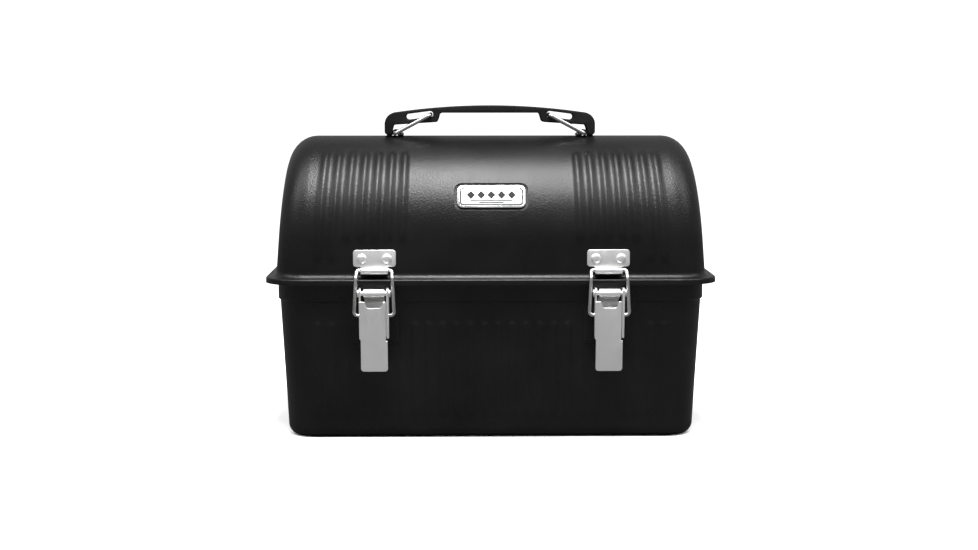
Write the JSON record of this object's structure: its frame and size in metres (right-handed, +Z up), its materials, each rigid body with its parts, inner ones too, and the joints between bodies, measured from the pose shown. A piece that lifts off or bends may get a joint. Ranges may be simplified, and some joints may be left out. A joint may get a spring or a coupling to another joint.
{
  "type": "metal lunch box",
  "caption": "Dome-topped black metal lunch box with pressed ribs, draw latches, rear hinges, a drop handle on wire links and a bottle retainer in the lid.",
  "frame": {"origin": "centre of the rim's footprint, on the ground under the tub", "axes": "+Z up, +X along the box to its right-hand end, -Y out of the latched front"},
  "size_m": [0.33, 0.1837, 0.2424],
  "materials": {
    "coating": "fine-textured black powder coat",
    "plated_steel": "satin plated",
    "wire": "bright drawn",
    "black_plastic": "fine matt moulded",
    "badge_metal": "satin, with a raised border"
  },
  "bodies": {
    "tub": {"tub": "coating", "latch_base_left": "plated_steel", "latch_base_right": "plated_steel", "lever_pin_left": "plated_steel", "lever_pin_right": "plated_steel", "base_rivet_1": "plated_steel", "base_rivet_2": "plated_steel", "base_rivet_3": "plated_steel", "base_rivet_4": "plated_steel", "hinge_tub_leaf_left": "plated_steel", "hinge_tub_leaf_right": "plated_steel", "hinge_pin_left": "plated_steel", "hinge_pin_right": "plated_steel", "hinge_rivet_1": "plated_steel", "hinge_rivet_2": "plated_steel", "hinge_rivet_3": "plated_steel", "hinge_rivet_4": "plated_steel"},
    "lid": {"lid": "coating", "nameplate": "badge_metal", "strike_plate_left": "plated_steel", "strike_plate_right": "plated_steel", "strike_rivet_1": "plated_steel", "strike_rivet_2": "plated_steel", "strike_rivet_3": "plated_steel", "strike_rivet_4": "plated_steel", "handle_bracket_left": "coating", "handle_bracket_right": "coating", "bracket_rivet_1": "plated_steel", "bracket_rivet_2": "plated_steel", "bracket_rivet_3": "plated_steel", "bracket_rivet_4": "plated_steel", "hinge_lid_leaf_left": "plated_steel", "hinge_lid_leaf_right": "plated_steel", "hinge_rivet_5": "plated_steel", "hinge_rivet_6": "plated_steel", "hinge_rivet_7": "plated_steel", "hinge_rivet_8": "plated_steel", "retainer_bracket_left": "plated_steel", "retainer_bracket_right": "plated_steel", "retainer_rivet_1": "plated_steel", "retainer_rivet_2": "plated_steel"},
    "handle": {"handle": "black_plastic"},
    "bottle_retainer": {"bottle_retainer": "wire"},
    "latch_lever_left": {"latch_lever_left": "plated_steel"},
    "latch_bail_left": {"latch_bail_left": "wire"},
    "handle_link_left": {"handle_link_left": "wire"},
    "latch_lever_right": {"latch_lever_right": "plated_steel"},
    "latch_bail_right": {"latch_bail_right": "wire"},
    "handle_link_right": {"handle_link_right": "wire"}
  },
  "joints": [
    {"name": "lid_hinge", "type": "hinge", "parent": "tub", "child": "lid", "pos_m": [0, 0.0875, 0.1158], "axis": [-1, 0, 0], "range_deg": [0, 105]},
    {"name": "handle_lift", "type": "slide", "parent": "lid", "child": "handle", "axis": [0, 0, 1], "range_m": [0, 0.0154]},
    {"name": "retainer_swing", "type": "hinge", "parent": "lid", "child": "bottle_retainer", "pos_m": [0, 0.07, 0.1326], "axis": [1, 0, 0], "range_deg": [0, 60]},
    {"name": "lever_left_hinge", "type": "hinge", "parent": "tub", "child": "latch_lever_left", "pos_m": [-0.0845, -0.0885, 0.1094], "axis": [-1, 0, 0], "range_deg": [0, 110]},
    {"name": "bail_left_hinge", "type": "hinge", "parent": "latch_lever_left", "child": "latch_bail_left", "pos_m": [-0.0845, -0.08571, 0.09322], "axis": [-1, 0, 0], "range_deg": [-165, 0]},
    {"name": "link_left_hinge", "type": "hinge", "parent": "lid", "child": "handle_link_left", "pos_m": [-0.0716, 0, 0.22125], "axis": [0, -1, 0], "range_deg": [0, 38]},
    {"name": "lever_right_hinge", "type": "hinge", "parent": "tub", "child": "latch_lever_right", "pos_m": [0.0845, -0.0885, 0.1094], "axis": [-1, 0, 0], "range_deg": [0, 110]},
    {"name": "bail_right_hinge", "type": "hinge", "parent": "latch_lever_right", "child": "latch_bail_right", "pos_m": [0.0845, -0.08571, 0.09322], "axis": [-1, 0, 0], "range_deg": [-165, 0]},
    {"name": "link_right_hinge", "type": "hinge", "parent": "lid", "child": "handle_link_right", "pos_m": [0.0716, 0, 0.22125], "axis": [0, 1, 0], "range_deg": [0, 38]}
  ],
  "couplings": [
    {"joint": "bail_left_hinge", "follows": "lever_left_hinge", "ratio": -1.5},
    {"joint": "link_left_hinge", "follows": "handle_lift", "rad_per_m": 42.3},
    {"joint": "bail_right_hinge", "follows": "lever_right_hinge", "ratio": -1.5},
    {"joint": "link_right_hinge", "follows": "handle_lift", "rad_per_m": 42.3}
  ]
}
